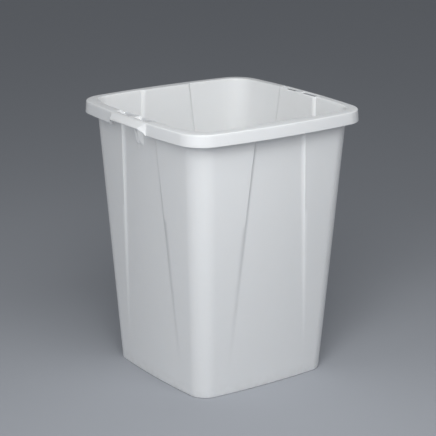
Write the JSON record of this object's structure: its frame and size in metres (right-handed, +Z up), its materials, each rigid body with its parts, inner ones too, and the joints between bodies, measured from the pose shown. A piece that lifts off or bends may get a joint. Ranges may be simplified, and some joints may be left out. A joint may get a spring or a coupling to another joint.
{
  "type": "square waste bin",
  "caption": "Tall open-topped square waste bin in off-white plastic, tapered, with a skirted rim, moulded hand grips and recessed side panels.",
  "frame": {"origin": "centre of the footprint, on the floor that the bin stands on", "axes": "+Z up; the two hand grips are on the +X and -X sides, the plain sides face +Y and -Y"},
  "size_m": [0.5084, 0.49, 0.61],
  "materials": {
    "polypropylene": "fine satin moulding texture, off-white, slightly translucent"
  },
  "bodies": {
    "root": {"bin_body": "polypropylene"}
  },
  "joints": []
}
